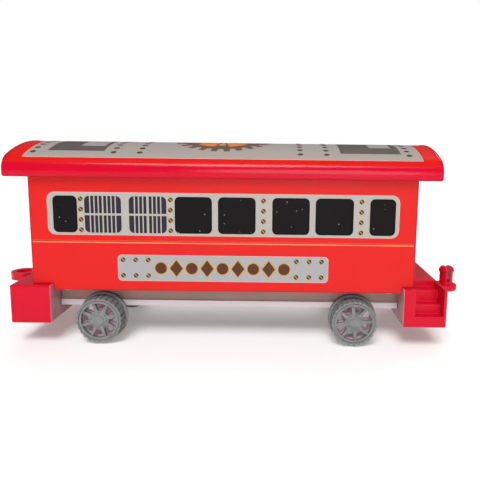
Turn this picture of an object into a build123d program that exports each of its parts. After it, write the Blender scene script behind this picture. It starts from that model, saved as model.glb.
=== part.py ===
from build123d import *
import math
import os

# Toy railway coach (caboose): a plastic underframe with an end box at each end, a metal tub that
# carries the axles, a four-wall body shell, an arched roof, printed sheets, two wheelsets and a
# coupling at each end.
# Millimetres. +Z is up, +X points to the rear (the end with the steps), and the left side is -Y.
# Pieces are drawn about the middle of the body; save() then moves them so that the origin lies
# at the middle of the overall length and width, at the height where the wheels touch.

# ---------------------------------------------------------------- overall sizes
body_length = 179.8
body_width = 61.2
body_wall = 1.6
body_top_z = 85.0
skirt_base_z = 26.1
body_corner_r = 0.8

roof_end_overhang = 10.1
roof_side_overhang = 3.9
roof_eave_z = 79.5
roof_crown_z = 95.4
roof_wall = 1.8
roof_crown_r = 80.0
roof_shoulder_r = 8.0
roof_edge_r = 1.2

sheet_thickness = 0.25
roof_sheet_recess = 0.45
roof_sheet_margin = 2.0
roof_sheet_edge_z = 86.2
side_sheet_margin = 0.5

# ---------------------------------------------------------------- underframe sizes
wheel_headroom = 4.1
floor_thickness = 1.6
box_side_overhang = 4.0
box_base_z = 10.8
box_wall = 1.6
box_edge_r = 0.9
# how far each end box reaches past the body's end, and how far back under it
front_box_reach = 9.3
front_box_under = 9.6
rear_box_reach = 14.9
rear_box_under = 5.5

# the tub under the floor: two side sills, ribs across it, and a flange that the body screws hold
sill_inset = 8.6
sill_wall = 1.6
sill_base_z = 16.3
bead_height = 2.9
bead_depth = 0.8
tub_rib_x = 27.0
tub_rib_wall = 1.4
tub_flange_reach = 6.4
tub_flange_thickness = 1.0
tub_end_gap = 0.3

# height of each tread's top and the depth of its riser behind the side face of the rear box
step_treads = [(26.0, 17.6), (20.5, 10.5), (16.0, 5.2)]

# ---------------------------------------------------------------- wheels and axles
flange_r = 11.7
flange_width = 1.5
flange_edge_r = 0.5
tread_r = 10.7
wheel_width = 9.3
wheels_over_faces = 65.3
front_axle_inset = 31.1
rear_axle_inset = 27.9
axle_r = 1.5
axle_bearing_gap = 0.05
axle_end_chamfer = 0.3
bracket_width = 10.0
bracket_thickness = 3.1

rim_inner_r = 8.4
face_groove_r = (9.35, 9.7)
face_groove_depth = 0.5
tread_flutes = 26
flute_width = 0.9
flute_depth = 0.35
hub_r = 4.5
hub_step_r = 3.4
hub_cap_r = 2.2
hub_step = 0.5
hub_cap_wall = 1.4
hub_boss_r = 3.2
spoke_count = 8
spoke_hub_width = 1.8
spoke_rim_width = 1.1
spoke_recess = 0.6
spoke_depth = 5.0
front_wheel_phase = 17.5
rear_wheel_phase = 5.6

# ---------------------------------------------------------------- couplings (reach: past the body's end)
post_reach = 24.7
post_r = 3.4
post_head_r = 3.95
post_top_r = 2.3
post_top_z = 32.5
post_head_height = 2.7
post_head_bulge = (0.35, 0.45)
post_slit = 1.6
post_slit_floor = 1.2
plate_top_z = 23.2
plate_thickness = 3.3
plate_edge_r = 0.8
plate_half_width = 5.5
plate_start_reach = 1.6
plate_screw_reach = 6.6
plate_boss_r = 4.5
plate_fit = 0.15

eye_reach = 18.1
eye_outer_r = 6.5
eye_bore_r = 3.7
arm_thickness = 3.7
arm_width = 7.0
arm_pivot_reach = 0.9
arm_pivot_outer_r = 5.2
arm_swing_deg = 20.0
arm_pin_r = 2.6
arm_pin_gap = 0.05
running_gap = 0.3
slot_gap = 0.6

# ---------------------------------------------------------------- screws and bosses
screw_r = 1.3
screw_fit = 0.03
screw_head_r = 2.4
screw_head_height = 1.6
screw_head_edge_r = 0.5
screw_cross = (3.2, 0.6)
screw_cross_depth = 0.8
screw_tip_gap = 1.0
screw_tip_chamfer = 0.6
pivot_head_r = 4.2
front_screw_inset = 14.9
rear_screw_inset = 10.9
body_screw_side_inset = 5.0
body_screw_length = 12.0
body_post_r = 3.0
body_post_top_z = 46.0
post_web = 1.6
roof_screw_xs = (-45.0, 45.0)
roof_screw_length = 11.0
roof_post_r = 3.4
bridge_top_z = 81.0
bridge_thickness = 3.0
bridge_width = 9.0
short_screw_length = 7.0

# ---------------------------------------------------------------- clearances and small detail
floor_fit = 0.2
skirt_fit = 0.3
rib_fit = 0.15
rib_base_z = 82.0
rib_wall = 1.2
seat_overhang = 0.4
door_size = (23.0, 42.0)
door_frame = 2.0
door_relief = 0.5
door_rail_height = 18.9
door_knob_r = 0.9
door_knob_inset = 4.4

# ---------------------------------------------------------------- sizes that follow from those
axle_z = flange_r
floor_under_z = 2 * flange_r + wheel_headroom
platform_z = floor_under_z + floor_thickness
body_half = body_length / 2
body_half_width = body_width / 2
roof_length = body_length + 2 * roof_end_overhang
roof_width = body_width + 2 * roof_side_overhang
box_width = body_width + 2 * box_side_overhang
roof_half_width = roof_width / 2
box_half_width = box_width / 2
front_box_outer_x = body_half + front_box_reach
front_box_inner_x = body_half - front_box_under
rear_box_outer_x = body_half + rear_box_reach
rear_box_inner_x = body_half - rear_box_under
sill_y = body_half_width - sill_inset
screw_seat_z = floor_under_z - tub_flange_thickness
front_axle_x = front_axle_inset - body_half
rear_axle_x = body_half - rear_axle_inset
post_x = body_half + post_reach
plate_inner_x = body_half + plate_start_reach
plate_screw_x = body_half + plate_screw_reach
eye_x = -body_half - eye_reach
arm_pivot_x = -body_half - arm_pivot_reach
body_screw_xs = (front_screw_inset - body_half, body_half - rear_screw_inset)
body_screw_y = body_half_width - body_screw_side_inset
front_reach = -eye_x + eye_outer_r
rear_reach = post_x + plate_half_width
origin_shift = (front_reach - rear_reach) / 2
wheel_face_y = wheels_over_faces / 2
wheel_back_y = wheel_face_y - wheel_width
arm_top_z = floor_under_z - running_gap
arm_base_z = arm_top_z - arm_thickness
MIDDLE = (Align.CENTER, Align.CENTER, Align.MIN)


def block(x_range, y_range, z_range):
    """A plain box between two values on each axis."""
    size = [high - low for low, high in (x_range, y_range, z_range)]
    middle = [(high + low) / 2 for low, high in (x_range, y_range, z_range)]
    return Pos(*middle) * Box(*size)


def upright(radius, x, y, z_low, z_high):
    """A vertical cylinder."""
    return Pos(x, y, z_low) * Cylinder(radius, z_high - z_low, align=MIDDLE)


def both_sides(piece):
    """A piece and its mirror image on the other side of the coach."""
    return piece + mirror(piece, about=Plane.XZ)


def side_profile(points, x_low, x_high):
    """An outline in Y and Z, stretched along X."""
    wire = Polyline(*[(0, y, z) for y, z in points], close=True)
    face = make_face(wire)
    return Pos(x_low, 0, 0) * extrude(face, amount=x_high - x_low, dir=(1, 0, 0))


# ---------------------------------------------------------------- roof
def roof_section(offset):
    """The arch's outline, drawn a distance inside the outer surface (outside if negative)."""
    shoulder_y = roof_half_width - roof_shoulder_r
    lean = math.asin(shoulder_y / (roof_crown_r - roof_shoulder_r))
    arch_centre_z = roof_crown_z - roof_crown_r
    shoulder_z = arch_centre_z + (roof_crown_r - roof_shoulder_r) * math.cos(lean)
    arch_r = roof_crown_r - offset
    corner_r = roof_shoulder_r - offset
    side_y = roof_half_width - offset
    half_turn = (math.pi / 2 - lean) / 2
    low = (side_y, shoulder_z)
    middle = (shoulder_y + corner_r * math.cos(half_turn),
              shoulder_z + corner_r * math.sin(half_turn))
    join = (arch_r * math.sin(lean), arch_centre_z + arch_r * math.cos(lean))
    crown = (0, arch_centre_z + arch_r)

    def at(y, z):
        return Vector(0, y, z)

    edges = [
        Line(at(side_y, roof_eave_z), at(*low)),
        ThreePointArc(at(*low), at(*middle), at(*join)),
        ThreePointArc(at(*join), at(*crown), at(-join[0], join[1])),
        ThreePointArc(at(-join[0], join[1]), at(-middle[0], middle[1]), at(-low[0], low[1])),
        Line(at(-side_y, shoulder_z), at(-side_y, roof_eave_z)),
        Line(at(-side_y, roof_eave_z), at(side_y, roof_eave_z)),
    ]
    return make_face(edges)


def arch(offset, length):
    """A solid arch, as long as stated, centred on the body."""
    return Pos(-length / 2, 0, 0) * extrude(roof_section(offset), amount=length, dir=(1, 0, 0))


def ring(half_x, half_y, wall, z_low, z_high):
    """Four upright walls, given by their outer half sizes."""
    outer = block((-half_x, half_x), (-half_y, half_y), (z_low, z_high))
    inner = block((wall - half_x, half_x - wall), (wall - half_y, half_y - wall), (z_low, z_high))
    return outer - inner


def sheet_bed(top_offset):
    """The layer between the floor of the roof's shallow bed and an arch at another offset."""
    length = roof_length - 2 * roof_sheet_margin
    layer = arch(top_offset, length) - arch(roof_sheet_recess, length)
    keep = block((-length, length), (-roof_width, roof_width),
                 (roof_sheet_edge_z, roof_crown_z + 2 * roof_wall))
    return layer & keep


def make_roof():
    outer = arch(0, roof_length)
    outer = fillet(outer.edges(), roof_edge_r)
    hollow = arch(roof_wall, roof_length - 2 * roof_wall)
    shell = outer - hollow - sheet_bed(-roof_wall)
    seat_half_x = body_half + seat_overhang
    seat_half_y = body_half_width + seat_overhang
    seat_wall = seat_overhang + body_wall + rib_fit
    inside_x = body_half - body_wall - rib_fit
    inside_y = body_half_width - body_wall - rib_fit
    frame = ring(seat_half_x, seat_half_y, seat_wall, body_top_z, roof_crown_z)
    frame += ring(inside_x, inside_y, rib_wall, rib_base_z, roof_crown_z)
    frame -= ring(body_half, body_half_width, body_wall, rib_base_z, body_top_z)
    for x in roof_screw_xs:
        frame += upright(roof_post_r, x, 0, bridge_top_z, roof_crown_z)
    shell += frame & arch(roof_wall / 2, roof_length - roof_wall)
    for x in roof_screw_xs:
        hole_top = bridge_top_z - bridge_thickness + roof_screw_length + screw_tip_gap
        shell -= upright(screw_r + screw_fit, x, 0, bridge_top_z, hole_top)
    return shell


def make_roof_sheet():
    """The printed sheet that lies in the bed, its face a little below the roof's rim."""
    return sheet_bed(roof_sheet_recess - sheet_thickness)


# ---------------------------------------------------------------- body
def make_door_relief():
    """A raised door frame with a knob, on the face x = 0, looking along +X."""
    width, height = door_size
    low = platform_z + door_frame
    frame = block((-door_relief, door_relief), (-width / 2, width / 2), (low, low + height))
    inner = block((0, 2 * door_relief), (door_frame - width / 2, width / 2 - door_frame),
                  (low + door_frame, low + height - door_frame))
    frame -= inner
    rail_z = low + door_rail_height
    frame += block((-door_relief, door_relief), (-width / 2, width / 2),
                   (rail_z, rail_z + door_frame))
    knob_y = width / 2 - door_knob_inset
    frame += Pos(door_relief, knob_y, rail_z - door_frame) * Sphere(door_knob_r)
    return frame


def make_body():
    outer = block((-body_half, body_half), (-body_half_width, body_half_width),
                  (platform_z, body_top_z))
    outer = fillet(outer.edges().filter_by(Axis.Z), body_corner_r)
    inner_x = body_half - body_wall
    inner_y = body_half_width - body_wall
    shell = outer - block((-inner_x, inner_x), (-inner_y, inner_y), (platform_z, body_top_z))
    skirt = block((skirt_fit - front_box_inner_x, rear_box_inner_x - skirt_fit),
                  (inner_y, body_half_width), (skirt_base_z, platform_z))
    shell += both_sides(skirt)
    for x in body_screw_xs:
        post = upright(body_post_r, x, body_screw_y, platform_z, body_post_top_z)
        post += block((x - post_web / 2, x + post_web / 2), (body_screw_y, inner_y),
                      (platform_z, body_post_top_z))
        hole_top = screw_seat_z + body_screw_length + screw_tip_gap
        post -= upright(screw_r + screw_fit, x, body_screw_y, platform_z, hole_top)
        shell += both_sides(post)
    for x in roof_screw_xs:
        bridge = block((x - bridge_width / 2, x + bridge_width / 2), (-inner_y, inner_y),
                       (bridge_top_z - bridge_thickness, bridge_top_z))
        bridge -= upright(screw_r + screw_fit, x, 0, 0, bridge_top_z)
        shell += bridge
    door = make_door_relief()
    shell += Pos(body_half, 0, 0) * door
    shell += Pos(-body_half, 0, 0) * mirror(door, about=Plane.YZ)
    return shell


def make_left_sheet():
    """The printed sheet on the left side, notched where the end boxes stand in front of it."""
    half = body_half - side_sheet_margin - body_corner_r / 2
    y_range = (-body_half_width - sheet_thickness, -body_half_width)
    sheet = block((-half, half), y_range, (skirt_base_z + side_sheet_margin, body_top_z))
    notch_z = (0, platform_z + side_sheet_margin / 2)
    sheet -= block((-body_length, skirt_fit - front_box_inner_x), y_range, notch_z)
    sheet -= block((rear_box_inner_x - skirt_fit, body_length), y_range, notch_z)
    return sheet


# ---------------------------------------------------------------- underframe
def end_box(x_low, x_high):
    """An end box, hollow and open below."""
    outer = block((x_low, x_high), (-box_half_width, box_half_width), (box_base_z, platform_z))
    outer = fillet(outer.edges(), box_edge_r)
    wall = box_wall
    inner = block((x_low + wall, x_high - wall), (wall - box_half_width, box_half_width - wall),
                  (box_base_z, floor_under_z))
    return outer - inner


def stair_outline(inset):
    """The stairs' section from the platform down to the side face, or its inner skin."""
    top = platform_z + box_wall
    points = []
    z = top
    for tread_z, depth in step_treads:
        y = box_half_width - depth - inset
        points.append((y, z))
        z = tread_z - inset
        points.append((y, z))
    side = box_half_width if inset else box_half_width + box_wall
    points.append((side, z))
    points.append((side, top))
    return points


def make_underframe():
    half_floor = body_half_width - body_wall - floor_fit
    frame = block((-front_box_inner_x - box_wall, rear_box_inner_x + box_wall),
                  (-half_floor, half_floor), (floor_under_z, platform_z))
    front = end_box(-front_box_outer_x, -front_box_inner_x)
    rear = end_box(rear_box_inner_x, rear_box_outer_x)

    # stairs at both sides of the rear box
    stair_x = (body_half, rear_box_outer_x - box_wall)
    cut = side_profile(stair_outline(0), *stair_x)
    skin = side_profile(stair_outline(box_wall), stair_x[0] - box_wall, stair_x[1])
    inside = block((rear_box_inner_x, rear_box_outer_x), (-box_half_width, box_half_width),
                   (box_base_z, platform_z))
    rear = (rear + both_sides(skin & inside)) - both_sides(cut)
    frame += front + rear

    # front coupling: the pin that the drawbar turns on, and the slot in the end wall
    frame += upright(arm_pin_r, arm_pivot_x, 0, arm_base_z - running_gap, floor_under_z)
    frame -= upright(screw_r + screw_fit, arm_pivot_x, 0, 0, floor_under_z)
    swing = math.radians(arm_swing_deg)
    lever = front_box_outer_x + arm_pivot_x
    slot_half = lever * math.tan(swing) + arm_width / 2 / math.cos(swing) + slot_gap
    frame -= block((-front_box_outer_x, box_wall - front_box_outer_x), (-slot_half, slot_half),
                   (arm_base_z - slot_gap, floor_under_z))

    # rear coupling: a boss over its plate and a slot in the end wall
    frame += upright(plate_boss_r, plate_screw_x, 0, plate_top_z, floor_under_z)
    frame -= upright(screw_r + screw_fit, plate_screw_x, 0, 0, floor_under_z)
    slot_y = plate_half_width + plate_fit
    frame -= block((rear_box_outer_x - box_wall, rear_box_outer_x), (-slot_y, slot_y),
                   (plate_top_z - plate_thickness - plate_fit, plate_top_z + plate_fit))

    # holes for the screws that hold the body
    for x in body_screw_xs:
        hole = upright(screw_r + screw_fit, x, body_screw_y, floor_under_z, platform_z)
        frame -= both_sides(hole)
    return frame


def make_tub():
    """The tub under the floor: beaded sills, ribs, axle brackets and the flange they hang from."""
    tub_x = (tub_end_gap - front_box_inner_x, rear_box_inner_x - tub_end_gap)
    flange_y = sill_y + tub_flange_reach
    tub = block(tub_x, (-flange_y, flange_y), (screw_seat_z, floor_under_z))
    sill = block(tub_x, (sill_y - sill_wall, sill_y), (sill_base_z, floor_under_z))
    sill += block(tub_x, (sill_y, sill_y + bead_depth), (sill_base_z, sill_base_z + bead_height))
    tub += both_sides(sill)
    for x in (-tub_rib_x, tub_rib_x):
        tub += block((x - tub_rib_wall / 2, x + tub_rib_wall / 2), (-sill_y, sill_y),
                     (sill_base_z, floor_under_z))
    for x in (front_axle_x, rear_axle_x):
        y_range = (sill_y - bracket_thickness, sill_y)
        bracket = block((x - bracket_width / 2, x + bracket_width / 2), y_range,
                        (axle_z, floor_under_z))
        foot = Rot(90, 0, 0) * Cylinder(bracket_width / 2, bracket_thickness)
        bracket += Pos(x, sill_y - bracket_thickness / 2, axle_z) * foot
        tub += both_sides(bracket)
        bore = Rot(90, 0, 0) * Cylinder(axle_r + axle_bearing_gap, box_width)
        tub -= Pos(x, 0, axle_z) * bore
        boss_room = Rot(90, 0, 0) * Cylinder(hub_boss_r + running_gap, wheel_back_y - sill_y)
        tub -= both_sides(Pos(x, (wheel_back_y + sill_y) / 2, axle_z) * boss_room)
    for x in body_screw_xs:
        hole = upright(screw_r + screw_fit, x, body_screw_y, screw_seat_z, floor_under_z)
        tub -= both_sides(hole)
    return tub


# ---------------------------------------------------------------- wheelsets
def wheel_section():
    """Half of the wheel's section: radius, and height from the back to the outer face."""
    face = wheel_width
    groove_in, groove_out = face_groove_r
    floor = face - face_groove_depth
    points = [
        (rim_inner_r, 0), (flange_r, 0), (flange_r, flange_width), (tread_r, flange_width),
        (tread_r, face), (groove_out, face), (groove_out, floor), (groove_in, floor),
        (groove_in, face), (rim_inner_r, face),
    ]
    return make_face(Polyline(*[(r, 0, z) for r, z in points], close=True))


def make_wheel(phase):
    """A spoked wheel whose outer face looks along +Z, with its back at z = 0."""
    wheel = revolve(wheel_section(), Axis.Z)
    rim_edges = wheel.edges().filter_by(GeomType.CIRCLE).group_by(SortBy.RADIUS)[-1]
    wheel = fillet(rim_edges, flange_edge_r)
    flute_z = (flange_width, wheel_width)
    flute = block((tread_r - flute_depth, flange_r), (-flute_width / 2, flute_width / 2), flute_z)
    wheel -= [Rot(0, 0, k * 360 / tread_flutes) * flute for k in range(tread_flutes)]
    hub_face = wheel_width - hub_step
    wheel += Cylinder(hub_r, hub_face - hub_step, align=MIDDLE)
    wheel += Cylinder(hub_step_r, hub_face, align=MIDDLE)
    wheel += Cylinder(hub_cap_r, wheel_width, align=MIDDLE)
    boss_length = wheel_back_y - sill_y - running_gap
    wheel += Pos(0, 0, -boss_length) * Cylinder(hub_boss_r, boss_length, align=MIDDLE)
    spoke_top = wheel_width - spoke_recess
    hub_end, rim_end = hub_step_r, rim_inner_r + face_groove_depth
    spoke_face = make_face(Polyline((hub_end, -spoke_hub_width / 2), (rim_end, -spoke_rim_width / 2),
                                    (rim_end, spoke_rim_width / 2), (hub_end, spoke_hub_width / 2),
                                    close=True))
    spoke = Pos(0, 0, spoke_top - spoke_depth) * extrude(spoke_face, amount=spoke_depth)
    wheel += [Rot(0, 0, phase + k * 360 / spoke_count) * spoke for k in range(spoke_count)]
    bore_depth = wheel_width - hub_cap_wall
    wheel -= Pos(0, 0, -boss_length) * Cylinder(axle_r, boss_length + bore_depth, align=MIDDLE)
    return wheel


def make_axle(x):
    length = wheels_over_faces - 2 * hub_cap_wall
    return Pos(x, 0, axle_z) * Rot(90, 0, 0) * chamfered_rod(axle_r, length)


def chamfered_rod(radius, length):
    rod = Cylinder(radius, length)
    return chamfer(rod.edges().filter_by(GeomType.CIRCLE), axle_end_chamfer)


def left_wheel(x, phase):
    return Pos(x, -wheel_back_y, axle_z) * Rot(90, 0, 0) * make_wheel(phase)


# ---------------------------------------------------------------- couplings
def make_rear_coupling():
    """A plate with a round end and a split post with a barbed head."""
    z_low = plate_top_z - plate_thickness
    plate = block((plate_inner_x, post_x), (-plate_half_width, plate_half_width),
                  (z_low, plate_top_z))
    plate += upright(plate_half_width, post_x, 0, z_low, plate_top_z)
    levels = plate.edges().group_by(Axis.Z)
    plate = fillet(levels[0] + levels[-1], plate_edge_r)
    head_z = post_top_z - post_head_height
    bulge_r, bulge_z = post_head_bulge
    middle_r = (post_head_r + post_top_r) / 2 + bulge_r
    middle_z = (head_z + post_top_z) / 2 + bulge_z
    outline = Polyline((0, 0, z_low), (post_r, 0, z_low), (post_r, 0, head_z),
                       (post_head_r, 0, head_z))
    outline += ThreePointArc((post_head_r, 0, head_z), (middle_r, 0, middle_z),
                             (post_top_r, 0, post_top_z))
    outline += Polyline((post_top_r, 0, post_top_z), (0, 0, post_top_z), (0, 0, z_low))
    post = Pos(post_x, 0, 0) * revolve(make_face(outline), Axis.Z)
    slit = block((post_x - post_slit / 2, post_x + post_slit / 2),
                 (-plate_half_width, plate_half_width),
                 (plate_top_z + post_slit_floor, post_top_z))
    plate += post - slit
    return plate - upright(screw_r + screw_fit, plate_screw_x, 0, z_low, plate_top_z)


def make_drawbar():
    """An arm with an eye that drops over the post of the next coach."""
    z_range = (arm_base_z, arm_top_z)
    arm = block((eye_x, arm_pivot_x), (-arm_width / 2, arm_width / 2), z_range)
    arm += upright(eye_outer_r, eye_x, 0, *z_range)
    arm += upright(arm_pivot_outer_r, arm_pivot_x, 0, *z_range)
    arm -= upright(eye_bore_r, eye_x, 0, *z_range)
    return arm - upright(arm_pin_r + arm_pin_gap, arm_pivot_x, 0, *z_range)


# ---------------------------------------------------------------- screws
def make_screw(x, y, seat_z, length, head_r):
    """A screw driven upwards: its head's upper face is at seat_z."""
    head = upright(head_r, x, y, seat_z - screw_head_height, seat_z)
    rim = head.edges().filter_by(GeomType.CIRCLE).sort_by(Axis.Z)[0]
    head = fillet(rim, screw_head_edge_r)
    long_side, short_side = screw_cross
    drive = Box(long_side, short_side, 2 * screw_cross_depth)
    drive += Box(short_side, long_side, 2 * screw_cross_depth)
    head -= Pos(x, y, seat_z - screw_head_height) * drive
    shank = upright(screw_r, x, y, seat_z, seat_z + length)
    tip = shank.edges().filter_by(GeomType.CIRCLE).sort_by(Axis.Z)[-1]
    return head + chamfer(tip, screw_tip_chamfer)


# ---------------------------------------------------------------- all the pieces
def save(name, piece):
    moved = Pos(origin_shift, 0, 0) * piece
    export_step(moved, os.path.join("parts", name + ".step"))


def main():
    os.makedirs("parts", exist_ok=True)
    save("underframe", make_underframe())
    save("chassis_tub", make_tub())
    save("body_shell", make_body())
    save("roof", make_roof())
    save("roof_sheet", make_roof_sheet())
    left_sheet = make_left_sheet()
    save("left_side_sheet", left_sheet)
    save("right_side_sheet", mirror(left_sheet, about=Plane.XZ))

    for end, x, phase in (("front", front_axle_x, front_wheel_phase),
                          ("rear", rear_axle_x, rear_wheel_phase)):
        wheel = left_wheel(x, phase)
        save(end + "_axle", make_axle(x))
        save(end + "_left_wheel", wheel)
        save(end + "_right_wheel", mirror(wheel, about=Plane.XZ))

    save("front_drawbar", make_drawbar())
    save("drawbar_pivot_screw", make_screw(arm_pivot_x, 0, arm_base_z - running_gap,
                                           arm_thickness, pivot_head_r))
    save("rear_coupling", make_rear_coupling())
    save("rear_coupling_screw", make_screw(plate_screw_x, 0, plate_top_z - plate_thickness,
                                           short_screw_length, screw_head_r))

    for end, x in zip(("front", "rear"), body_screw_xs):
        screw = make_screw(x, -body_screw_y, screw_seat_z, body_screw_length, screw_head_r)
        save("body_screw_" + end + "_left", screw)
        save("body_screw_" + end + "_right", mirror(screw, about=Plane.XZ))
    for end, x in zip(("front", "rear"), roof_screw_xs):
        seat_z = bridge_top_z - bridge_thickness
        save("roof_screw_" + end, make_screw(x, 0, seat_z, roof_screw_length, screw_head_r))


main()
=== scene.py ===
import bmesh
import bpy
import math
from mathutils import Matrix, Vector


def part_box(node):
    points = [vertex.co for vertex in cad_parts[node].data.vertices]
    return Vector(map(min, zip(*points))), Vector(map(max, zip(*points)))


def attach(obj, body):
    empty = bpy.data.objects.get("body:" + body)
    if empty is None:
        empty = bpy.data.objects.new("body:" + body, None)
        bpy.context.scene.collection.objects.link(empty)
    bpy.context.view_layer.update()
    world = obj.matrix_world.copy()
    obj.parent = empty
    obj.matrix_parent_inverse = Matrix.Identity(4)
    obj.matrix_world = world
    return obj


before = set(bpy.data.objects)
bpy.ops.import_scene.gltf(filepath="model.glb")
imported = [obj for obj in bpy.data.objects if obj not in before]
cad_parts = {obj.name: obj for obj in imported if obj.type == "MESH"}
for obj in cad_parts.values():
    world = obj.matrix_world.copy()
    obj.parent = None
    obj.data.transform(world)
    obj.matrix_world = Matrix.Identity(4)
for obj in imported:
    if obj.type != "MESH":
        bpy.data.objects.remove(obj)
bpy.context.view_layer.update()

# Lengths in the tables below are in millimetres. Positions along the coach (u) are from the body's
# middle, heights (v) are from the floor, and distances round the roof (s) are from its ridge.
MM = 0.001


def new_object(name, data):
    """An object made from a mesh, a light or a camera and put into the scene."""
    made = bpy.data.objects.new(name, data)
    bpy.context.scene.collection.objects.link(made)
    return made


# ---------------------------------------------------------------- materials
# How strongly each kind of surface shines.
PLASTIC_GLOSS = 0.18
SHEET_GLOSS = 0.2
INK_GLOSS = 0.15
WHEEL_GLOSS = 0.15
PANE_GLOSS = 0.05
ROOF_GLOSS = 0.03

PLASTIC_IOR = 1.5
WHEEL_IOR = 1.46
STEEL_METALLIC = 1.0
PAINT_METALLIC = 0.35
FLOW_SWING = 0.08
MID_GREY = 0.5

# An edge's rounded normal leans from its face's. The cosine of that lean is below the first value
# where edge wear and painted edge highlights begin, and below the second where they are full.
WEAR_AND_HIGHLIGHT_STARTS = 0.98
WEAR_AND_HIGHLIGHT_FULL = 0.75
BEVEL_SAMPLES = 4

# A surface is given this share of the colour it should show, because the studio is a little bright.
STUDIO_TRIM = 0.88


def srgb(red, green, blue):
    """A display colour, 0 to 255, as the linear colour that shows so in the studio's light."""
    def linear(value):
        value /= 255
        return value / 12.92 if value <= 0.04045 else ((value + 0.055) / 1.055) ** 2.4
    return tuple(STUDIO_TRIM * linear(value) for value in (red, green, blue)) + (1.0,)


def scaled(colour, share):
    """A colour made brighter or darker by a factor, no brighter than 1."""
    return tuple(min(1.0, c * share) for c in colour[:3]) + (1.0,)


def paler(colour, share):
    """A colour mixed with mid grey by a share."""
    return tuple((1 - share) * c + share * MID_GREY for c in colour[:3]) + (1.0,)


class Finish:
    """A node material that is put together step by step on one Principled shader."""

    def __init__(self, name, **sockets):
        self.material = bpy.data.materials.new(name)
        self.material.use_nodes = True
        tree = self.material.node_tree
        self.nodes, self.links = tree.nodes, tree.links
        self.shader = self.nodes["Principled BSDF"]
        for socket, value in sockets.items():
            self.shader.inputs[socket.replace("_", " ")].default_value = value
        self.place = self.nodes.new("ShaderNodeTexCoord").outputs["Object"]

    def add(self, kind, **settings):
        """A new node with some of its settings changed."""
        node = self.nodes.new(kind)
        for key, value in settings.items():
            setattr(node, key, value)
        return node

    def join(self, output, node, socket):
        self.links.new(output, node.inputs[socket])

    def noise(self, per_metre, detail, stretch=None):
        """Noise with so many features to the metre, drawn out along an axis if stretch is given."""
        node = self.add("ShaderNodeTexNoise")
        node.inputs["Scale"].default_value = per_metre
        node.inputs["Detail"].default_value = detail
        source = self.place
        if stretch:
            mapping = self.add("ShaderNodeMapping")
            mapping.inputs["Scale"].default_value = stretch
            self.join(source, mapping, "Vector")
            source = mapping.outputs["Vector"]
        self.join(source, node, "Vector")
        return node.outputs["Fac"]

    def shades(self, value, colour, darkest, lightest, ends=(0.3, 0.7)):
        """A value turned into shades of a colour, from one share of it to another."""
        node = self.add("ShaderNodeValToRGB")
        elements = node.color_ramp.elements
        for element, position, share in zip(elements, ends, (darkest, lightest)):
            element.position = position
            element.color = scaled(colour, share)
        self.join(value, node, "Fac")
        return node.outputs["Color"]

    def span(self, value, low, high):
        """A 0 to 1 value moved to another range."""
        node = self.add("ShaderNodeMapRange")
        node.inputs["To Min"].default_value = low
        node.inputs["To Max"].default_value = high
        self.join(value, node, "Value")
        return node.outputs["Result"]

    def mix(self, share, first, second):
        """Two colours (or colour outputs) mixed by a share output."""
        node = self.add("ShaderNodeMix", data_type="RGBA")
        self.join(share, node, "Factor")
        for socket, colour in ((node.inputs[6], first), (node.inputs[7], second)):
            if isinstance(colour, tuple):
                socket.default_value = colour
            else:
                self.links.new(colour, socket)
        return node.outputs[2]

    def specks(self, per_metre, size, share):
        """1 inside small round specks in a share of the cells, and 0 elsewhere."""
        cells = self.add("ShaderNodeTexVoronoi")
        cells.inputs["Scale"].default_value = per_metre
        self.join(self.place, cells, "Vector")
        inside = self.add("ShaderNodeMath", operation="LESS_THAN")
        inside.inputs[1].default_value = size
        self.join(cells.outputs["Distance"], inside, 0)
        split = self.add("ShaderNodeSeparateColor")
        self.join(cells.outputs["Color"], split, "Color")
        chosen = self.add("ShaderNodeMath", operation="LESS_THAN")
        chosen.inputs[1].default_value = share
        self.join(split.outputs["Red"], chosen, 0)
        return self.product(inside.outputs[0], chosen.outputs[0])

    def axis(self, name):
        """One coordinate of the place on the coach: X, Y or Z, in metres."""
        split = self.add("ShaderNodeSeparateXYZ")
        self.join(self.place, split, "Vector")
        return split.outputs[name]

    def near(self, value, target, reach):
        """1 where a value lies within a reach of the target, and 0 elsewhere."""
        node = self.add("ShaderNodeMath", operation="COMPARE")
        node.inputs[1].default_value = target
        node.inputs[2].default_value = reach
        self.join(value, node, 0)
        return node.outputs[0]

    def around_axles(self, radius, depth):
        """1 inside a cylinder about either axle, as far out from the middle as depth, in mm."""
        flat = self.add("ShaderNodeMapping")
        flat.inputs["Scale"].default_value = (1, 0, 1)
        self.join(self.place, flat, "Vector")
        total = self.add("ShaderNodeMath", operation="ADD")
        for k, axle in enumerate(("front_axle", "rear_axle")):
            low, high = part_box(axle)
            away = self.add("ShaderNodeVectorMath", operation="DISTANCE")
            away.inputs[1].default_value = ((low.x + high.x) / 2, 0, (low.z + high.z) / 2)
            self.join(flat.outputs["Vector"], away, 0)
            self.join(self.near(away.outputs["Value"], 0, radius * MM), total, k)
        return self.product(total.outputs[0], self.near(self.axis("Y"), 0, depth * MM))

    def product(self, first, second):
        """Two values multiplied."""
        node = self.add("ShaderNodeMath", operation="MULTIPLY")
        self.join(first, node, 0)
        self.join(second, node, 1)
        return node.outputs[0]

    def rounding(self, radius_mm):
        """A normal that rounds off the edges by a radius, and a 0 to 1 mask of those edges."""
        bevel = self.add("ShaderNodeBevel", samples=BEVEL_SAMPLES)
        bevel.inputs["Radius"].default_value = radius_mm * MM
        geometry = self.add("ShaderNodeNewGeometry")
        turned = self.add("ShaderNodeVectorMath", operation="DOT_PRODUCT")
        self.join(bevel.outputs["Normal"], turned, 0)
        self.join(geometry.outputs["Normal"], turned, 1)
        edge = self.add("ShaderNodeMapRange")
        edge.inputs["From Min"].default_value = WEAR_AND_HIGHLIGHT_STARTS
        edge.inputs["From Max"].default_value = WEAR_AND_HIGHLIGHT_FULL
        self.join(turned.outputs["Value"], edge, "Value")
        return bevel.outputs["Normal"], edge.outputs["Result"]

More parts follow.
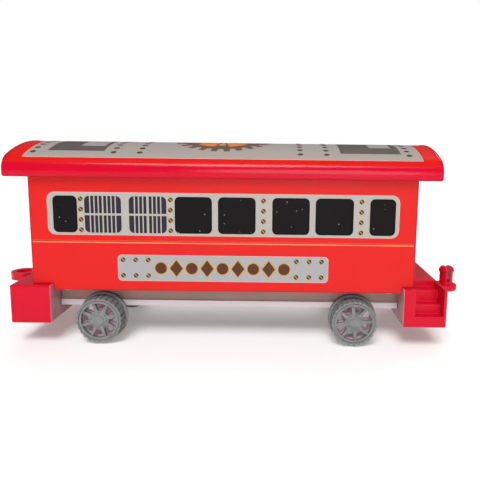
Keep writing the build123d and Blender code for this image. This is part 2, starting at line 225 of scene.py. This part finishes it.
    def bump(self, height, depth_mm, normal=None):
        """A normal tilted by a height, starting from another normal if one is given."""
        node = self.add("ShaderNodeBump")
        node.inputs["Strength"].default_value = 1.0
        node.inputs["Distance"].default_value = depth_mm * MM
        self.join(height, node, "Height")
        if normal is not None:
            self.join(normal, node, "Normal")
        return node.outputs["Normal"]

    def finish(self, colour, roughness, normal=None):
        """The material, with its colour, roughness and any normal joined to the shader."""
        self.join(colour, self.shader, "Base Color")
        self.join(roughness, self.shader, "Roughness")
        if normal is not None:
            self.join(normal, self.shader, "Normal")
        return self.material


def moulded_plastic(name, colour, low_rough, high_rough, edge_mm=0.35, reflection_xs=()):
    """Injection-moulded gloss plastic: faint flow marks, a soft orange peel and scuffed edges.

    The faces at reflection_xs, which look towards the wheels, get a painted grey reflection in
    patches.
    """
    f = Finish(name, IOR=PLASTIC_IOR, Specular_IOR_Level=PLASTIC_GLOSS)
    flow = f.noise(per_metre=26, detail=4.0, stretch=(0.35, 1.0, 1.0))
    base = f.shades(flow, colour, darkest=1 - FLOW_SWING, lightest=1 + FLOW_SWING)
    rounded, edge = f.rounding(edge_mm)
    scuffs = f.product(edge, f.span(f.noise(per_metre=700, detail=2.0), low=0.0, high=0.45))
    base = f.mix(scuffs, base, paler(colour, share=0.25))
    # Painted grey reflection, in patches, on the faces that look towards the wheels.
    for x in reflection_xs:
        face = f.near(f.axis("X"), x, REFLECTION_FACE_REACH)
        reflection_patches = f.span(f.noise(per_metre=220, detail=4.0), low=0.35, high=0.95)
        base = f.mix(f.product(face, reflection_patches), base, BOX_FACE_PAINTED_REFLECTION)
    rough = f.span(f.noise(per_metre=180, detail=5.0), low_rough, high_rough)
    peel = f.bump(f.noise(per_metre=520, detail=2.0), depth_mm=0.006, normal=rounded)
    return f.finish(base, rough, peel)


def printed_sheet(name, colour, gloss=SHEET_GLOSS):
    """Printed and varnished sheet: a faint grain of ink and a hint of roll marks."""
    f = Finish(name, IOR=PLASTIC_IOR, Specular_IOR_Level=gloss)
    grain = f.noise(per_metre=2600, detail=2.0)
    base = f.shades(grain, colour, darkest=0.94, lightest=1.05, ends=(0.25, 0.75))
    rolls = f.noise(per_metre=40, detail=3.0, stretch=(1.0, 1.0, 0.12))
    base = f.mix(f.span(rolls, low=0.0, high=0.25), base, scaled(colour, share=0.88))
    rough = f.span(f.noise(per_metre=90, detail=4.0), low=0.26, high=0.42)
    peel = f.bump(f.noise(per_metre=1500, detail=2.0), depth_mm=0.0025)
    return f.finish(base, rough, peel)


def ink(name, colour, low_rough=0.3, high_rough=0.45, speck=None, gloss=INK_GLOSS):
    """A printed colour: fine ink grain, and bright specks of dust if a speck colour is given."""
    f = Finish(name, IOR=PLASTIC_IOR, Specular_IOR_Level=gloss)
    grain = f.noise(per_metre=3200, detail=2.0)
    base = f.shades(grain, colour, darkest=0.9, lightest=1.08, ends=(0.2, 0.8))
    if speck:
        base = f.mix(f.specks(per_metre=420, size=0.13, share=0.26), base, speck)
    rough = f.span(f.noise(per_metre=160, detail=3.0), low_rough, high_rough)
    peel = f.bump(f.noise(per_metre=1500, detail=2.0), depth_mm=0.002)
    return f.finish(base, rough, peel)


def wheel_plastic(name, colour):
    """Satin grey plastic: fine mould grain, painted light in the hollow, and rubbed edges with a
    painted highlight.
    """
    f = Finish(name, IOR=WHEEL_IOR, Specular_IOR_Level=WHEEL_GLOSS)
    mottle = f.noise(per_metre=240, detail=5.0)
    base = f.shades(mottle, colour, darkest=0.86, lightest=1.1)
    rounded, edge = f.rounding(radius_mm=0.25)
    # Painted light: a pale tint in the wheel's hollow lifts the shade there.
    base = f.mix(f.around_axles(HOLLOW_R, HOLLOW_DEPTH), base, HOLLOW_PAINTED_LIGHT)
    # Edges brightened: partly rubbed wear, partly a painted highlight.
    base = f.mix(f.span(edge, low=0.0, high=0.6), base, scaled(colour, share=1.7))
    rough = f.span(f.noise(per_metre=900, detail=4.0), low=0.45, high=0.62)
    grain = f.bump(f.noise(per_metre=1800, detail=3.0), depth_mm=0.008, normal=rounded)
    return f.finish(base, rough, grain)


def metal(name, colour, low_rough, high_rough):
    """Bare or plated steel with fine turning marks."""
    f = Finish(name, Metallic=STEEL_METALLIC)
    mottle = f.noise(per_metre=300, detail=4.0)
    base = f.shades(mottle, colour, darkest=0.85, lightest=1.05)
    rough = f.span(f.noise(per_metre=900, detail=3.0), low_rough, high_rough)
    rounded, _ = f.rounding(radius_mm=0.15)
    turning = f.noise(per_metre=2200, detail=2.0, stretch=(1, 8, 1))
    return f.finish(base, rough, f.bump(turning, depth_mm=0.002, normal=rounded))


def painted_metal(name, colour):
    """Satin silver paint: soft streaks, a painted highlight on the bead, painted light by the
    wheels, rubbed edges with a painted highlight.
    """
    f = Finish(name, Metallic=PAINT_METALLIC, Specular_IOR_Level=PLASTIC_GLOSS)
    streaks = f.noise(per_metre=70, detail=4.0, stretch=(0.2, 1.0, 1.6))
    base = f.shades(streaks, colour, darkest=0.84, lightest=1.06)
    # Painted highlight along the bead at the foot of the tub.
    bead = f.near(f.axis("Z"), BEAD_Z, BEAD_REACH)
    base = f.mix(bead, base, BEAD_PAINTED_HIGHLIGHT)
    # Painted light: a pale tint on the tub behind each wheel's hollow lifts the shade there.
    base = f.mix(f.around_axles(HOLLOW_R, HOLLOW_DEPTH), base, HOLLOW_PAINTED_LIGHT)
    rounded, edge = f.rounding(radius_mm=0.4)
    # Edges brightened: partly rubbed wear, partly a painted highlight.
    base = f.mix(f.span(edge, low=0.0, high=0.75), base, scaled(colour, share=1.9))
    rough = f.span(f.noise(per_metre=500, detail=4.0), low=0.34, high=0.5)
    grain = f.bump(f.noise(per_metre=1200, detail=3.0), depth_mm=0.004, normal=rounded)
    return f.finish(base, rough, grain)


# The inner faces of the end boxes, at the ends of the tub, get a painted grey reflection in
# patches.
TUB_LOW, TUB_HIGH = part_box("chassis_tub")
BOX_FACE_PAINTED_REFLECTION = srgb(205, 176, 180)
REFLECTION_FACE_REACH = 0.6 * MM

# The bead along the foot of the tub gets a painted highlight, paler than its wall.
BEAD_Z = 17.75 * MM
BEAD_REACH = 1.5 * MM
BEAD_PAINTED_HIGHLIGHT = srgb(218, 208, 212)

# The hollow of each wheel, and the part of the tub behind it, gets painted light: a pale tint that
# lifts the shade there.
HOLLOW_R = 8.7
HOLLOW_DEPTH = 30.0
HOLLOW_PAINTED_LIGHT = srgb(246, 228, 236)

CRIMSON = srgb(210, 5, 42)
RED_SHEET = srgb(224, 27, 23)

chassis_red = moulded_plastic("chassis_red", CRIMSON, 0.16, 0.3, edge_mm=0.8,
                              reflection_xs=(TUB_LOW.x, TUB_HIGH.x))
shell_red = moulded_plastic("shell_red", CRIMSON, 0.16, 0.3)
roof_red = moulded_plastic("roof_red", CRIMSON, 0.1, 0.2, edge_mm=0.5)
coupling_red = moulded_plastic("coupling_red", scaled(CRIMSON, 1.05), 0.14, 0.28, edge_mm=0.4)
sheet_red = printed_sheet("sheet_red", RED_SHEET)
roof_sheet_red = printed_sheet("roof_sheet_red", RED_SHEET, gloss=ROOF_GLOSS)
silver = ink("silver", srgb(181, 177, 170))
plate_silver = ink("plate_silver", srgb(172, 170, 172))
roof_silver = ink("roof_silver", srgb(170, 160, 154), gloss=ROOF_GLOSS)
edge_gold = ink("edge_gold", srgb(214, 186, 176))
glass_black = ink("glass_black", srgb(26, 24, 24), 0.24, 0.36, speck=srgb(132, 126, 120),
                  gloss=PANE_GLOSS)
slot_purple = ink("slot_purple", srgb(50, 40, 54))
screw_gold = ink("screw_gold", srgb(178, 148, 88))
screw_dark = ink("screw_dark", srgb(78, 58, 22))
roof_screw_rim = ink("roof_screw_rim", srgb(128, 96, 62), gloss=ROOF_GLOSS)
roof_screw_face = ink("roof_screw_face", srgb(58, 42, 30), gloss=ROOF_GLOSS)
stripe_light = ink("stripe_light", srgb(246, 150, 104))
stripe_dark = ink("stripe_dark", srgb(232, 84, 44))
ornament_dark = ink("ornament_dark", srgb(92, 54, 34))
ornament_gold = ink("ornament_gold", srgb(206, 160, 66))
hatch_grey = ink("hatch_grey", srgb(96, 88, 84), gloss=ROOF_GLOSS)
hatch_light = ink("hatch_light", srgb(166, 158, 154), gloss=ROOF_GLOSS)
gear_brown = ink("gear_brown", srgb(108, 82, 70), gloss=ROOF_GLOSS)
gear_orange = ink("gear_orange", srgb(226, 132, 72), gloss=ROOF_GLOSS)
gear_yellow = ink("gear_yellow", srgb(206, 176, 66), gloss=ROOF_GLOSS)
wheel_grey = wheel_plastic("wheel_grey", srgb(133, 134, 135))
tub_silver = painted_metal("tub_silver", srgb(162, 134, 124))
axle_steel = metal("axle_steel", srgb(176, 176, 178), 0.22, 0.36)
screw_zinc = metal("screw_zinc", srgb(196, 194, 188), 0.26, 0.42)

NODE_LOOKS = {
    "underframe": (chassis_red, "underframe_plastic"),
    "body_shell": (shell_red, "body_plastic"),
    "roof": (roof_red, "roof_plastic"),
    "roof_sheet": (roof_sheet_red, "printed_sheet"),
    "left_side_sheet": (sheet_red, "printed_sheet"),
    "right_side_sheet": (sheet_red, "printed_sheet"),
    "front_drawbar": (coupling_red, "coupling_plastic"),
    "rear_coupling": (coupling_red, "coupling_plastic"),
    "chassis_tub": (tub_silver, "tub_metal"),
    "front_axle": (axle_steel, "steel"),
    "rear_axle": (axle_steel, "steel"),
}
for node_name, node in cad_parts.items():
    if node_name in NODE_LOOKS:
        look, slot_name = NODE_LOOKS[node_name]
    elif "wheel" in node_name:
        look, slot_name = wheel_grey, "wheel_plastic"
    else:
        look, slot_name = screw_zinc, "steel"
    node.data.materials.clear()
    node.data.materials.append(look)


# ---------------------------------------------------------------- flat outlines
CORNER_STEPS = 6
DISC_STEPS = 20
SEGMENT_STEPS = 8


def arc(centre, radius, start, end, steps):
    """Points on an arc, from one angle to another in degrees."""
    points = []
    for k in range(steps + 1):
        angle = math.radians(start + (end - start) * k / steps)
        points.append((centre[0] + radius * math.cos(angle), centre[1] + radius * math.sin(angle)))
    return points


def rounded_box(u_low, u_high, v_low, v_high, radii):
    """A box outline with a radius for each corner: low-low, high-low, high-high, low-high."""
    if not isinstance(radii, tuple):
        radii = (radii,) * 4
    corners = [(u_low, v_low, 1, 1, 180), (u_high, v_low, -1, 1, 270),
               (u_high, v_high, -1, -1, 0), (u_low, v_high, 1, -1, 90)]
    points = []
    for (u, v, step_u, step_v, start), radius in zip(corners, radii):
        if radius == 0:
            points.append((u, v))
        else:
            centre = (u + step_u * radius, v + step_v * radius)
            points += arc(centre, radius, start, start + 90, CORNER_STEPS)
    return points


def disc(u, v, radius):
    return arc((u, v), radius, 0, 360 - 360 / DISC_STEPS, DISC_STEPS - 1)


def segments(u, v, radius, slot_half, lean):
    """The two parts of a disc that a slot leaves, the slot leaning by so many degrees."""
    reach = math.degrees(math.acos(slot_half / radius))
    return [arc((u, v), radius, lean + side - reach, lean + side + reach, SEGMENT_STEPS)
            for side in (90, 270)]


def lozenge(u, v, half_u, half_v):
    return [(u - half_u, v), (u, v - half_v), (u + half_u, v), (u, v + half_v)]


# ---------------------------------------------------------------- prints: thin closed solids
BODY_LOW, BODY_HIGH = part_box("body_shell")
BODY_MIDDLE = (BODY_LOW.x + BODY_HIGH.x) / 2 / MM
SHEET_FACE = -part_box("left_side_sheet")[0].y / MM
ROOF_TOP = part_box("roof_sheet")[1].z / MM

# The roof's section is a wide arch with a tight shoulder on each side.
ROOF_ARCH_R = 79.8
ROOF_SHOULDER_R = 7.8
ROOF_SHOULDER_Y = 26.5
ROOF_LEAN = math.asin(ROOF_SHOULDER_Y / (ROOF_ARCH_R - ROOF_SHOULDER_R))
ROOF_JOIN = ROOF_ARCH_R * ROOF_LEAN
ROOF_ARCH_Z = ROOF_TOP - ROOF_ARCH_R
ROOF_SHOULDER_Z = ROOF_ARCH_Z + (ROOF_ARCH_R - ROOF_SHOULDER_R) * math.cos(ROOF_LEAN)


def on_left(u, v, height):
    return Vector((BODY_MIDDLE + u, -SHEET_FACE - height, v)) * MM


def on_right(u, v, height):
    return Vector((BODY_MIDDLE + u, SHEET_FACE + height, v)) * MM


def on_roof(u, s, height):
    """A point at a distance s round the roof from its ridge, negative to the left."""
    side = -1 if s < 0 else 1
    s = abs(s)
    if s <= ROOF_JOIN:
        angle = s / ROOF_ARCH_R
        centre_y, centre_z, radius = 0, ROOF_ARCH_Z, ROOF_ARCH_R
    else:
        angle = ROOF_LEAN + (s - ROOF_JOIN) / ROOF_SHOULDER_R
        centre_y, centre_z, radius = ROOF_SHOULDER_Y, ROOF_SHOULDER_Z, ROOF_SHOULDER_R
    y = side * (centre_y + (radius + height) * math.sin(angle))
    z = centre_z + (radius + height) * math.cos(angle)
    return Vector((BODY_MIDDLE + u, y, z)) * MM


# Where a print on the roof is creased, close together round the shoulders.
ARCH_CUT = 1.5
ARCH_CUT_COUNT = 20
SHOULDER_CUT = 0.3
LAST_CUT = 36


def roof_cuts():
    """The distances round the roof at which a print is creased, to both sides of the ridge."""
    cuts = [ARCH_CUT * k for k in range(ARCH_CUT_COUNT)] + [ROOF_JOIN]
    s = ROOF_JOIN
    while s < LAST_CUT:
        s += SHOULDER_CUT
        cuts.append(s)
    return sorted(set(cuts + [-s for s in cuts]))


ROOF_CUTS = roof_cuts()
CUT_MARGIN = 0.01
CUT_REACH = 1e-5

# How thick each layer of print is. Layers lie on each other, from layer 0 up.
LAYER = 0.03


def print_piece(name, shapes, layer, place, look, cuts=()):
    """One piece made of thin solids, one layer thick.

    A shape is an outline, or a list of outlines with the holes last.
    """
    low, high = layer * LAYER, (layer + 1) * LAYER
    whole = bmesh.new()
    for shape in shapes:
        loops = shape if isinstance(shape[0], list) else [shape]
        flat = bmesh.new()
        edges = []
        for loop in loops:
            corners = [flat.verts.new((u, v, 0)) for u, v in loop]
            edges += [flat.edges.new((a, b)) for a, b in zip(corners, corners[1:] + corners[:1])]
        bmesh.ops.triangle_fill(flat, edges=edges, use_beauty=True, normal=(0, 0, 1))
        low_v = min(p[1] for p in loops[0])
        high_v = max(p[1] for p in loops[0])
        for cut in cuts:
            if low_v + CUT_MARGIN < cut < high_v - CUT_MARGIN:
                everything = flat.verts[:] + flat.edges[:] + flat.faces[:]
                bmesh.ops.bisect_plane(flat, geom=everything, dist=CUT_REACH,
                                       plane_co=(0, cut, 0), plane_no=(0, 1, 0))
        base = flat.faces[:]
        raised = bmesh.ops.extrude_face_region(flat, geom=base, use_keep_orig=True)["geom"]
        top = {item for item in raised if isinstance(item, bmesh.types.BMVert)}
        for vert in flat.verts:
            height = high if vert in top else low
            vert.co = place(vert.co.x, vert.co.y, height)
        bmesh.ops.recalc_face_normals(flat, faces=flat.faces[:])
        part = bpy.data.meshes.new(name + "_part")
        flat.to_mesh(part)
        flat.free()
        whole.from_mesh(part)
        bpy.data.meshes.remove(part)
    mesh = bpy.data.meshes.new(name)
    whole.to_mesh(mesh)
    whole.free()
    mesh.materials.append(look)
    piece = new_object(name, mesh)
    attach(piece, "coach")


# ---------------------------------------------------------------- the print on the sides
# Boxes are low u, high u, low v, high v.
BAND = (-81.0, 81.2, 52.75, 72.35)
BAND_CORNER = 3.4
WINDOW_V = (53.7, 70.85)
WINDOW_CORNER = 2.3
WINDOWS = [(-78.6, -67.4), (-22.4, -5.2), (-2.45, 14.95), (22.6, 39.9), (42.6, 60.2),
           (67.7, 79.6)]
LOUVRES = [(-64.0, -47.1), (-43.5, -26.2)]
LOUVRE_BAR = (61.8, 62.8)
LOUVRE_SLOTS = [2.3, 1.35, 1.35, 1.35]
LOUVRE_GAP = 0.58
SCREW_COLUMNS = [-65.75, -24.35, 18.5, 63.8]
SCREW_ROWS = [69.4, 64.6, 59.8, 55.0]
SCREW_R = 1.2
SCREW_RIM = 0.15
SLOT_HALF = 0.22
SLOT_LEAN = -45
PLATE = (-49.2, 48.9, 31.1, 43.15)
PLATE_CORNER = 1.7
PLATE_SCREW_US = [-46.9, -41.0, -35.1, 34.1, 40.1, 45.9]
PLATE_SCREW_VS = [41.0, 33.5]
STRIPE_END = 88.6
STRIPE_LIGHT_V = (48.85, 49.3)
STRIPE_DARK_V = (49.8, 50.1)
OUTLINE = 0.22

# The ornament: a lozenge and a disc in turn, this many to each side of the middle.
ORNAMENT_REACH = 4
ORNAMENT_PITCH = 7.2
ORNAMENT_SHIFT = -0.4
ORNAMENT_RIM = 0.45
LOZENGE_HALF_U = 3.0
LOZENGE_HALF_V = 3.9
LOZENGE_GROWTH = 1.4
ORNAMENT_DISC_R = 2.7


def grown(box, margin):
    """A box with its sides moved out by a margin."""
    return (box[0] - margin, box[1] + margin, box[2] - margin, box[3] + margin)


def outline(box, corner, width):
    """A thin frame round a rounded box."""
    return [rounded_box(*grown(box, width), corner + width), rounded_box(*box, corner)]


def slotted_faces(places, screw_r):
    """The faces of slotted screws inside their rims, two segments to a screw."""
    halves = []
    for u, v in places:
        halves += segments(u, v, screw_r - SCREW_RIM, SLOT_HALF, SLOT_LEAN)
    return halves


def louvre_shapes():
    """The slots of the louvres, below and above their bar, from both ends of each inwards."""
    shapes = []
    rows = ((WINDOW_V[0], LOUVRE_BAR[0], False), (LOUVRE_BAR[1], WINDOW_V[1], True))
    for left, right in LOUVRES:
        for v_low, v_high, top in rows:
            for edge, way in ((left, 1), (right, -1)):
                u = edge
                for k, width in enumerate(LOUVRE_SLOTS):
                    low, high = sorted((u, u + way * width))
                    corner = WINDOW_CORNER if k == 0 else 0
                    if way > 0:
                        radii = (0, 0, 0, corner) if top else (corner, 0, 0, 0)
                    else:
                        radii = (0, 0, corner, 0) if top else (0, corner, 0, 0)
                    shapes.append(rounded_box(low, high, v_low, v_high, radii))
                    u += way * (width + LOUVRE_GAP)
    return shapes


def ornament(margin):
    """A generic row of lozenges and discs in place of the lettering, grown by a margin."""
    shapes = []
    middle = (PLATE[2] + PLATE[3]) / 2
    growth = margin * LOZENGE_GROWTH
    for k in range(-ORNAMENT_REACH, ORNAMENT_REACH + 1):
        u = ORNAMENT_PITCH * k + ORNAMENT_SHIFT
        if k % 2:
            shapes.append(lozenge(u, middle, LOZENGE_HALF_U + growth, LOZENGE_HALF_V + growth))
        else:
            shapes.append(disc(u, middle, ORNAMENT_DISC_R + margin))
    return shapes


def side_print(side, place):
    """All the print on one side of the coach."""
    def piece(name, shapes, layer, look, slot_name):
        print_piece(side + "_" + name, shapes, layer, place, look)

    screws = [(u, v) for u in SCREW_COLUMNS for v in SCREW_ROWS]
    screws += [(u, v) for u in PLATE_SCREW_US for v in PLATE_SCREW_VS]
    piece("window_band", [rounded_box(*BAND, BAND_CORNER)], 0, silver, "silver_print")
    piece("band_outline", [outline(BAND, BAND_CORNER, OUTLINE)], 0, edge_gold, "gold_print")
    piece("window_panes", [rounded_box(a, b, *WINDOW_V, WINDOW_CORNER) for a, b in WINDOWS],
          1, glass_black, "dark_print")
    piece("louvre_slots", louvre_shapes(), 1, slot_purple, "dark_print")
    piece("name_plate", [rounded_box(*PLATE, PLATE_CORNER)], 0, plate_silver, "silver_print")
    piece("plate_outline", [outline(PLATE, PLATE_CORNER, OUTLINE)], 0, edge_gold, "gold_print")
    piece("ornament_rims", ornament(ORNAMENT_RIM), 1, ornament_gold, "gold_print")
    piece("ornament", ornament(0), 2, ornament_dark, "dark_print")
    piece("screw_rims", [disc(u, v, SCREW_R) for u, v in screws], 1, screw_gold, "brass_print")
    piece("screw_faces", slotted_faces(screws, SCREW_R), 2, screw_dark, "brass_print")
    piece("stripe_light", [rounded_box(-STRIPE_END, STRIPE_END, *STRIPE_LIGHT_V, 0)], 0,
          stripe_light, "gold_print")
    piece("stripe_dark", [rounded_box(-STRIPE_END, STRIPE_END, *STRIPE_DARK_V, 0)], 0,
          stripe_dark, "gold_print")


side_print("left", on_left)
side_print("right", on_right)


# ---------------------------------------------------------------- the print on the roof
ROOF_PANEL = (-91.0, 90.8, -32.3, 32.3)
ROOF_SCREW_US = [-88.2, -51.0, -38.9, 35.3, 47.5, 85.6]
ROOF_SCREW_SS = [3, 9, 15, 21, 27]
ROOF_SCREW_R = 1.35
HATCHES = [(-82.1, -55.8), (54.0, 82.2)]
HATCH_S = 25.3
HATCH_LIGHTS = [(-69.0, -57.7, 17.5), (68.7, 79.0, 15.5)]
GEAR_U = -2.1
GEAR_TIP_R = 24.3
GEAR_ROOT_R = 20.3
GEAR_RING_R = 16.2
GEAR_HUB_R = 4.6
GEAR_YELLOW_R = 13.2
GEAR_TEETH = 24
GEAR_ROOT_TURN = 4.6
GEAR_TIP_TURN = 3.4
SPOKE_HALF = 0.55
SECTOR_COUNT = 6
SECTOR_PITCH = 60
SECTOR_STEPS = 10
ORANGE_HALF_TURN = 19.6
YELLOW_HALF_TURN = 10.4


def gear_outline():
    """The gear's toothed edge; angles are from across the roof."""
    tooth = ((-GEAR_ROOT_TURN, GEAR_ROOT_R), (-GEAR_TIP_TURN, GEAR_TIP_R),
             (GEAR_TIP_TURN, GEAR_TIP_R), (GEAR_ROOT_TURN, GEAR_ROOT_R))
    points = []
    for k in range(GEAR_TEETH):
        middle = 360 / GEAR_TEETH * (k + 0.5)
        for turn, radius in tooth:
            angle = math.radians(middle + turn)
            points.append((GEAR_U + radius * math.sin(angle), radius * math.cos(angle)))
    return points


def sector(middle, half, outer_r):
    """A blunt sector of the gear, between two spokes; angles are from across the roof."""
    loop = []
    for radius, way in ((GEAR_HUB_R, -1), (outer_r, 1)):
        inset = math.degrees(SPOKE_HALF / radius)
        turn = way * (half - inset)
        loop += arc((0, 0), radius, middle - turn, middle + turn, SECTOR_STEPS)
    return [(GEAR_U + y, x) for x, y in loop]


def roof_piece(name, shapes, layer, look):
    print_piece("roof_" + name, shapes, layer, on_roof, look, ROOF_CUTS)


roof_piece("panel", [rounded_box(*ROOF_PANEL, 0)], 0, roof_silver)
panel_frame = [rounded_box(*grown(ROOF_PANEL, OUTLINE), 0), rounded_box(*ROOF_PANEL, 0)]
roof_piece("panel_outline", [panel_frame], 0, edge_gold)
roof_piece("hatches", [rounded_box(a, b, -HATCH_S, HATCH_S, 0) for a, b in HATCHES], 1,
           hatch_grey)
roof_piece("hatch_lights", [rounded_box(a, b, -s, s, 0) for a, b, s in HATCH_LIGHTS], 2,
           hatch_light)
roof_piece("gear", [gear_outline()], 1, gear_brown)
oranges = [sector(SECTOR_PITCH * k + SECTOR_PITCH / 2, ORANGE_HALF_TURN, GEAR_RING_R)
           for k in range(SECTOR_COUNT)]
roof_piece("gear_orange", oranges, 2, gear_orange)
yellows = [sector(SECTOR_PITCH * k, YELLOW_HALF_TURN, GEAR_YELLOW_R) for k in range(SECTOR_COUNT)]
roof_piece("gear_yellow", yellows, 2, gear_yellow)
roof_screws = [(u, side * s) for u in ROOF_SCREW_US for s in ROOF_SCREW_SS for side in (-1, 1)]
roof_piece("screw_rims", [disc(u, s, ROOF_SCREW_R) for u, s in roof_screws], 2,
           roof_screw_rim)
roof_piece("screw_faces", slotted_faces(roof_screws, ROOF_SCREW_R), 3, roof_screw_face)


# ---------------------------------------------------------------- floor, light and camera
FLOOR_WHITE = (0.93, 0.93, 0.925, 1.0)
FLOOR_HALF = 6.0
# The floor glows a little of itself, like a light table.
FLOOR_GLOW = 0.2
DOME_R = 8.0
DOME_SEGMENTS = 48
DOME_RINGS = 24
WHITE = (1, 1, 1, 1)
BLACK = (0, 0, 0, 1)
SKY_STRENGTH = 0.2

CAMERA_LENS = 40.29
CAMERA_SENSOR = 36
CAMERA_SHIFT = (-0.0737, -0.0441)
CAMERA_CLIP = (0.01, 20)
CAMERA_PLACE = (0.02128, -0.27625, 0.09824)
CAMERA_TILT = 81.406
CAMERA_ROLL = 0.69


def make_floor():
    """A wide sheet of white paper, level with the foot of the wheels."""
    mesh = bpy.data.meshes.new("floor")
    corners = [(-FLOOR_HALF, -FLOOR_HALF, 0), (FLOOR_HALF, -FLOOR_HALF, 0),
               (FLOOR_HALF, FLOOR_HALF, 0), (-FLOOR_HALF, FLOOR_HALF, 0)]
    mesh.from_pydata(corners, [], [(0, 1, 2, 3)])
    floor = new_object("floor", mesh)
    f = Finish("floor_paper", Specular_IOR_Level=0.3, Emission_Color=WHITE,
               Emission_Strength=FLOOR_GLOW)
    base = f.shades(f.noise(per_metre=30, detail=3.0), FLOOR_WHITE, darkest=1, lightest=1.02)
    rough = f.span(f.noise(per_metre=200, detail=3.0), low=0.55, high=0.7)
    mesh.materials.append(f.finish(base, rough))


def sun_light(name, rise, turn, strength, width):
    """Even light from a direction: degrees above the floor, and round from the left side."""
    data = bpy.data.lights.new(name, "SUN")
    data.energy = strength
    data.angle = math.radians(width)
    light = new_object(name, data)
    light.rotation_euler = (math.radians(90 - rise), 0, math.radians(turn))


def area_light(name, location, target, size, energy):
    """A lit rectangle that faces a target; places and sizes are in metres."""
    data = bpy.data.lights.new(name, "AREA")
    data.shape = "RECTANGLE"
    data.size, data.size_y = size
    data.energy = energy
    light = new_object(name, data)
    light.location = location
    light.rotation_euler = (Vector(target) - Vector(location)).to_track_quat("-Z", "Y").to_euler()


def make_backdrop():
    """A pale dome behind everything that only the camera sees, so it doesn't light the coach."""
    mesh = bpy.data.meshes.new("backdrop")
    ball = bmesh.new()
    bmesh.ops.create_uvsphere(ball, u_segments=DOME_SEGMENTS, v_segments=DOME_RINGS,
                              radius=DOME_R)
    ball.to_mesh(mesh)
    ball.free()
    dome = new_object("backdrop", mesh)
    f = Finish("backdrop_paper", Base_Color=BLACK, Specular_IOR_Level=0.0, Emission_Color=WHITE,
               Emission_Strength=1.0)
    mesh.materials.append(f.material)
    dome.visible_diffuse = False
    dome.visible_glossy = False
    dome.visible_transmission = False
    dome.visible_shadow = False


make_floor()
make_backdrop()
sun_light("key", rise=52, turn=-8, strength=2.24, width=30)
sun_light("front", rise=9, turn=4, strength=0.65, width=24)
sun_light("back", rise=60, turn=170, strength=0.84, width=50)
area_light("strip", location=(0.12, -0.75, 0.75), target=(0.02, 0, 0.09), size=(0.5, 0.05),
           energy=0.5)

world = bpy.data.worlds.new("studio")
world.use_nodes = True
sky = world.node_tree.nodes["Background"]
sky.inputs["Color"].default_value = WHITE
sky.inputs["Strength"].default_value = SKY_STRENGTH
bpy.context.scene.world = world
bpy.context.scene.view_settings.view_transform = "Standard"

camera_data = bpy.data.cameras.new("camera")
camera_data.lens = CAMERA_LENS
camera_data.sensor_width = CAMERA_SENSOR
camera_data.shift_x, camera_data.shift_y = CAMERA_SHIFT
camera_data.clip_start, camera_data.clip_end = CAMERA_CLIP
camera = new_object("camera", camera_data)
tilt = Matrix.Rotation(math.radians(CAMERA_TILT), 3, "X")
roll = Matrix.Rotation(math.radians(CAMERA_ROLL), 3, "Z")
camera.location = CAMERA_PLACE
camera.rotation_euler = (tilt @ roll).to_euler()
bpy.context.scene.camera = camera
